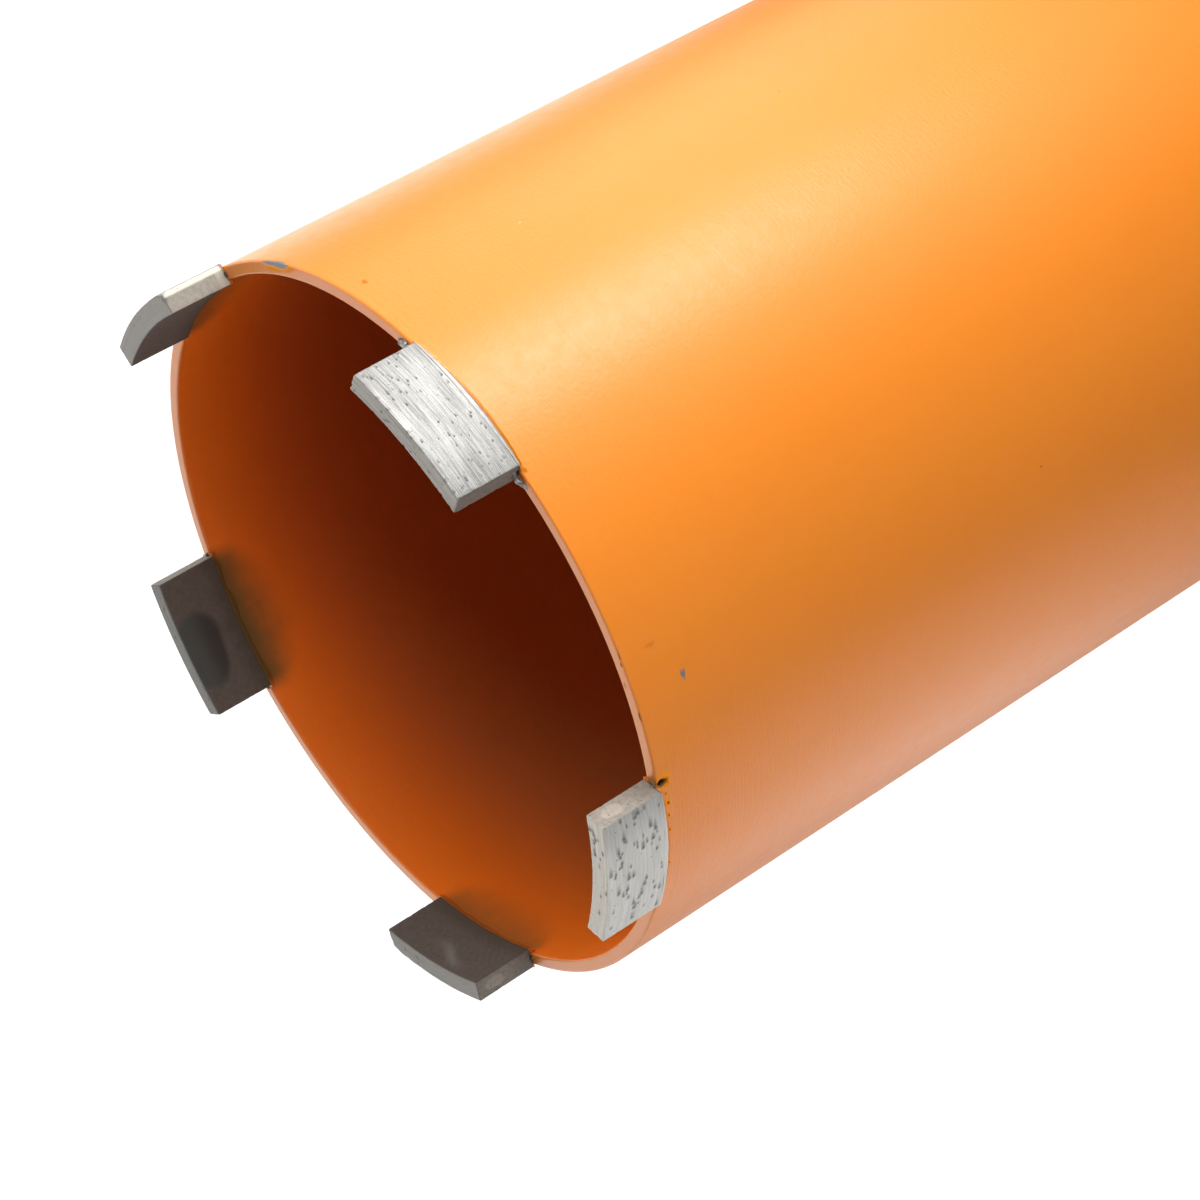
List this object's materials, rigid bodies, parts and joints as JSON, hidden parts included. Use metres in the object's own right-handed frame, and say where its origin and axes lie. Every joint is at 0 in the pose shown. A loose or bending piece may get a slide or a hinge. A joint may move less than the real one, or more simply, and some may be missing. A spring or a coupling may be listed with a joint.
{
  "type": "diamond core bit",
  "caption": "Short cylindrical core drill bit: an orange painted steel barrel crowned with ground diamond segments, closed at the back by a plate with a threaded hub.",
  "frame": {"origin": "centre of the hub's free end face, on the bit's axis", "axes": "+Z along the bit's axis towards the cutting tips; +X through the middle of segment_1"},
  "size_m": [0.1164, 0.1162, 0.1797],
  "materials": {
    "painted_steel": "satin orange powder coat",
    "diamond_segment": "ground sintered metal with diamond grit",
    "weld_metal": "ground weld"
  },
  "bodies": {
    "root": {"barrel": "painted_steel", "end_plate": "painted_steel", "hub": "painted_steel", "plate_weld": "painted_steel", "hub_weld": "painted_steel", "segment_1": "diamond_segment", "segment_2": "diamond_segment", "segment_3": "diamond_segment", "segment_4": "diamond_segment", "segment_5": "diamond_segment", "segment_weld_1": "weld_metal", "segment_weld_2": "weld_metal", "segment_weld_3": "weld_metal", "segment_weld_4": "weld_metal", "segment_weld_5": "weld_metal"}
  },
  "joints": []
}
